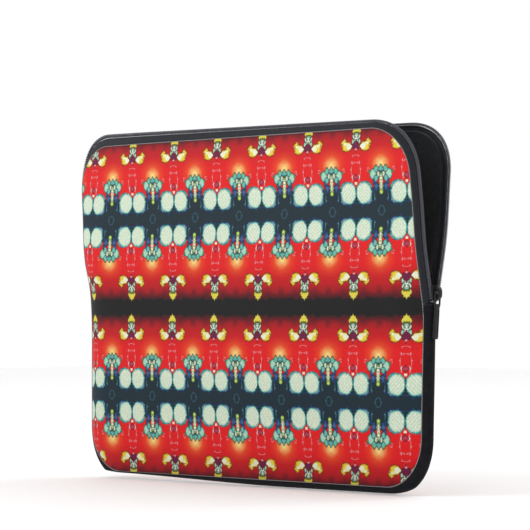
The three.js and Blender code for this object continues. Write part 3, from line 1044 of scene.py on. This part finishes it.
def zip_coil(face):
    """The nylon coil: one wire wound round and round along the tape's edge."""
    steps = 9
    path = rim(1, COIL_START, COIL_END, COIL_PITCH / steps)
    turn = np.arange(len(path)) * 2 * math.pi / steps
    out = COIL_CENTRE[0] + COIL_HALF[0] * np.cos(turn)
    y = -face * (COIL_CENTRE[1] + COIL_HALF[1] * np.sin(turn))
    x, z, nx, nz = path.T
    out = rim_reach(x, nx, nz, out)
    line = np.stack([x + nx * out, y, z + nz * out], 1)
    tangent = unit(np.gradient(line, axis=0))
    away = np.stack([nx * np.cos(turn), -face * np.sin(turn), nz * np.cos(turn)], 1)
    side = unit(np.cross(tangent, away))
    up = np.cross(side, tangent)
    angles = round_angles(6)
    radius = (WIRE * (1 + TOOTH_HEAD * np.cos(turn)))[:, None, None]
    rings = (
        line[:, None]
        + radius * np.cos(angles)[None, :, None] * side[:, None]
        + radius * np.sin(angles)[None, :, None] * up[:, None]
    )
    coil = swept_piece(label_of(face) + "_coil", opened(rings, face), NYLON_PAINTED_HIGHLIGHT)
    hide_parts(label_of(face) + "_zip_coil")
    bend_with_flap(coil)


def coil_cord(face):
    """The filler cord inside the coil."""
    path = rim(1, COIL_START, COIL_END, 3.0)
    angles = round_angles(8)
    section = COIL_CENTRE + CORD_RADIUS * np.stack([np.cos(angles), np.sin(angles)], 1)
    line = opened(loft(path, faced(section, face)), face)
    cord = swept_piece(label_of(face) + "_coil_core", line, CORD_PAINTED_SHADE)
    bend_with_flap(cord)


def stop_block(name, hand, low, high, y_low, y_high, face=None):
    """A small moulded stop over the coil's end."""
    stations = side_piece(hand, low, high, 0.4)
    section = np.array([[-2.5, y_low], [0.25, y_low], [0.25, y_high], [-2.5, y_high]])
    points = loft(stations, section)
    points = points if face is None else opened(points, face)
    return soften_edges(swept_piece(name, points, NYLON_PAINTED_HIGHLIGHT), 0.35)


def zip_stops():
    bottom = stop_block("bottom_stop", 1, TAB_TOP + 0.2, TAB_TOP + 1.7, -2.5, 2.5)
    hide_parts("zip_bottom_stop")
    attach(bottom, "shell")
    for face in (-1, 1):
        ends = sorted((face * 0.25, face * 2.7))
        top = stop_block(label_of(face) + "_end_stop", -1, 150.2, 152.4, *ends, face=face)
        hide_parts(label_of(face) + "_top_stop")
        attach(top, label_of(face) + "_flap")


# ---- the slider ----
def outline_piece(name, outline, from_out, to_out, rounding, holes=()):
    """A flat cast piece: an outline of [y, z] round the slider's middle, thick from from_out to
    to_out outwards, with rounded edges. Holes are outlines too."""
    work = bmesh.new()
    loops = []
    for ring in (outline, *holes):
        corners = [work.verts.new((from_out, y, z)) for y, z in ring]
        loops += [work.edges.new((a, b)) for a, b in zip(corners, corners[1:] + corners[:1])]
    bmesh.ops.triangle_fill(work, use_beauty=True, edges=loops)
    bmesh.ops.dissolve_limit(work, angle_limit=0.01, verts=work.verts, edges=work.edges)
    made = bmesh.ops.extrude_face_region(work, geom=work.faces[:])
    moved = [item for item in made["geom"] if isinstance(item, bmesh.types.BMVert)]
    bmesh.ops.translate(work, verts=moved, vec=(to_out - from_out, 0, 0))
    bmesh.ops.recalc_face_normals(work, faces=work.faces)
    points = np.array([vert.co for vert in work.verts]) + (HALF_WIDTH, 0, SLIDER_Z)
    work.verts.index_update()
    faces = [[vert.index for vert in face.verts] for face in work.faces]
    work.free()
    return soften_edges(new_piece(name, points, faces, ENAMEL), rounding)


def rounded_outline(right, radius, steps=5):
    """An outline from its right-hand corners, mirrored to the left, with each corner replaced by a
    curve that starts radius before it."""
    right = np.array(right, float)
    left = right * (-1, 1)
    corners = np.vstack([left[:1], right, left[:0:-1]])
    points = []
    for before, here, after in zip(np.roll(corners, 1, 0), corners, np.roll(corners, -1, 0)):
        start = here + unit(before - here) * radius
        end = here + unit(after - here) * radius
        for share in np.linspace(0, 1, steps):
            one, two = start * (1 - share) + here * share, here * (1 - share) + end * share
            points.append(one * (1 - share) + two * share)
    return points


def slider_outline():
    """The slider's plate from outside: broad shoulders above, and a narrower tail."""
    return rounded_outline([(3.4, -6), (4.7, 1), (4.7, 6)], 1.5)


def arch_strip(name, line, width, thickness):
    """A strip that follows a line of [outward, z] points, with its edges rounded."""
    line = np.array(line, float)
    tangent = unit(np.gradient(line, axis=0))
    normal = np.stack([tangent[:, 1], -tangent[:, 0]], 1) * thickness / 2
    half = width / 2
    corners = []
    for side, y in ((1, -half), (1, half), (-1, half), (-1, -half)):
        out, up = (line + side * normal + (HALF_WIDTH, SLIDER_Z)).T
        corners.append(np.stack([out, np.full(len(line), y), up], 1))
    return soften_edges(swept_piece(name, np.stack(corners, 1), ENAMEL), 0.3)


def curve_through(points, count=28):
    """A smooth curve through a few points."""
    points = np.array(points, float)
    padded = np.vstack([2 * points[0] - points[1], points, 2 * points[-1] - points[-2]])
    result = []
    spans = len(points) - 1
    for place in np.linspace(0, spans, count):
        i = min(int(place), spans - 1)
        t = place - i
        a, b, c, d = padded[i:i + 4]
        result.append(0.5 * (2 * b + (c - a) * t + (2 * a - 5 * b + 4 * c - d) * t * t
                             + (3 * b - a - 3 * c + d) * t ** 3))
    return np.array(result)


# The crown's middle line as [outward, z] points round the slider's middle.
CROWN_LINE = [
    (1.3, -4.8), (3.6, -4.4), (5.2, -2.6), (5.55, 0), (5.2, 2.8), (3.6, 4.9), (1.3, 5.2),
]


def slider_pieces():
    body = outline_piece("slider_outer_plate", slider_outline(), 0.55, 1.7, 0.4)
    narrow = rounded_outline([(1.5, -5.4), (2.1, 1), (2.1, 5.6)], 1.0)
    inner = outline_piece("slider_inner_plate", narrow, -4.9, -3.7, 0.4)
    thin = rounded_outline([(0.5, 1.5), (0.5, 5)], 0.2)
    post = outline_piece("slider_post", thin, -4.0, 0.8, 0.1)
    crown = arch_strip("slider_crown", curve_through(CROWN_LINE), 3.9, 1.1)
    short = rounded_outline([(0.8, 1.6), (0.8, 3.4)], 0.3)
    pawl = outline_piece("slider_pawl", short, 1.9, 2.9, 0.2)
    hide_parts("slider_body")
    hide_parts("slider_cap")
    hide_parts("slider_lock_pin")
    for piece in (body, inner, post, crown, pawl):
        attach(piece, "slider")


def pull_piece():
    """The pull: an eye round the crown and a long flat grip with a raised rim."""
    outline = rounded_outline([(3.4, 0.9), (3.4, -7.6), (2.6, -9.8), (2.7, -34)], 1.1)
    hole = rounded_outline([(2.3, -0.9), (2.3, -6.8)], 0.8)
    grip = outline_piece("pull_grip", outline, -0.7, 0.7, 0.4, holes=[hole])
    for piece in (grip, pull_rim()):
        hang_from_slider(piece)
        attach(piece, "pull")
    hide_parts("pull_tab")


def pull_rim():
    """The raised line that runs round the grip's face, on both of its sides."""
    half_wide, half_tall, from_middle = 0.38, 0.34, 0.72
    ring = np.array(rounded_outline([(1.9, -10.8), (2.0, -33.0)], 1.2))
    tangent = unit(np.roll(ring, -1, 0) - np.roll(ring, 1, 0))
    aside = np.stack([tangent[:, 1], -tangent[:, 0]], 1)
    angles = round_angles(8)
    y_z = ring[:, None] + aside[:, None] * (half_wide * np.cos(angles))[None, :, None]
    many = []
    for out in (-from_middle, from_middle):
        x = np.broadcast_to(out + half_tall * np.sin(angles), y_z.shape[:2])
        many.append(np.concatenate([x[..., None], y_z], 2) + (HALF_WIDTH, 0, SLIDER_Z))
    return joined_rings("pull_rim", many, ENAMEL, loop=True)


PULL_PIVOT = (2.9, -1.5)
PULL_LEAN = math.radians(5)


def hang_from_slider(piece):
    """Moves a piece drawn upright at the slider's middle to the pull's pivot, leaning with it."""
    count = len(piece.data.vertices)
    points = np.zeros(count * 3)
    piece.data.vertices.foreach_get("co", points)
    points = points.reshape(-1, 3) / MM - (HALF_WIDTH + CENTRE_X, 0, SLIDER_Z)
    cosine, sine = math.cos(PULL_LEAN), math.sin(PULL_LEAN)
    y, z = points[:, 1].copy(), points[:, 2].copy()
    points[:, 1] = y * cosine + z * sine
    points[:, 2] = -y * sine + z * cosine
    points += (HALF_WIDTH + CENTRE_X + PULL_PIVOT[0], 0, SLIDER_Z + PULL_PIVOT[1])
    piece.data.vertices.foreach_set("co", (points * MM).ravel())
    piece.data.update()


# ---- the stage ----
CAMERA = {"yaw": 44.0, "rise": 1.19, "distance": 2119.0, "aside": 11.4, "height": 136.9, "lens": 175.4}


def camera():
    data = bpy.data.cameras.new("camera")
    data.lens = CAMERA["lens"]
    data.sensor_width = 36
    data.clip_end = 20
    eye = new_object("camera", data)
    yaw = math.radians(CAMERA["yaw"])
    back, aside = CAMERA["distance"], CAMERA["aside"]
    x = back * math.sin(yaw) + aside * math.cos(yaw) + CENTRE_X
    y = -back * math.cos(yaw) + aside * math.sin(yaw)
    eye.location = (x * MM, y * MM, CAMERA["height"] * MM)
    eye.rotation_euler = (math.radians(90 + CAMERA["rise"]), 0, yaw)
    bpy.context.scene.camera = eye


def lamp(name, place, size, energy):
    """A soft square light at a place in metres, turned to the sleeve's middle."""
    data = bpy.data.lights.new(name, "AREA")
    data.size = size
    data.energy = energy
    light = new_object(name, data)
    light.location = place
    away = light.location - type(light.location)((0, 0, 0.14))
    light.rotation_euler = away.to_track_quat("Z", "Y").to_euler()


def floor():
    count = 24
    side = np.linspace(-4000, 4000, count)
    x, y = np.meshgrid(side, side, indexing="ij")
    points = np.stack([x, y, np.full(x.shape, -0.2)], -1)
    pale = plain("pale_floor", colour(250, 250, 250), 0.7)
    ground = new_piece("floor", points, grid_faces(count, count), pale)


def studio():
    world = bpy.data.worlds.new("studio")
    world.use_nodes = True
    background = world.node_tree.nodes["Background"]
    background.inputs["Color"].default_value = (1, 1, 1, 1)
    background.inputs["Strength"].default_value = 1.0
    bpy.context.scene.world = world
    lamp("key", (-1.2, -2.4, 1.9), 1.4, 22)
    lamp("side", (2.6, -0.7, 0.9), 1.0, 6)
    lamp("back", (0.6, 2.2, 1.6), 1.2, 10)
    floor()
    bpy.context.scene.view_settings.view_transform = "Standard"


# ---- the sleeve ----
camera()
studio()
for side in (-1, 1):
    panel(side)
    zip_tape(side)
    zip_coil(side)
    coil_cord(side)
edge_band()
end_tab(1, "end_tab_right")
end_tab(-1, "end_tab_left")
zip_stops()
slider_pieces()
pull_piece()
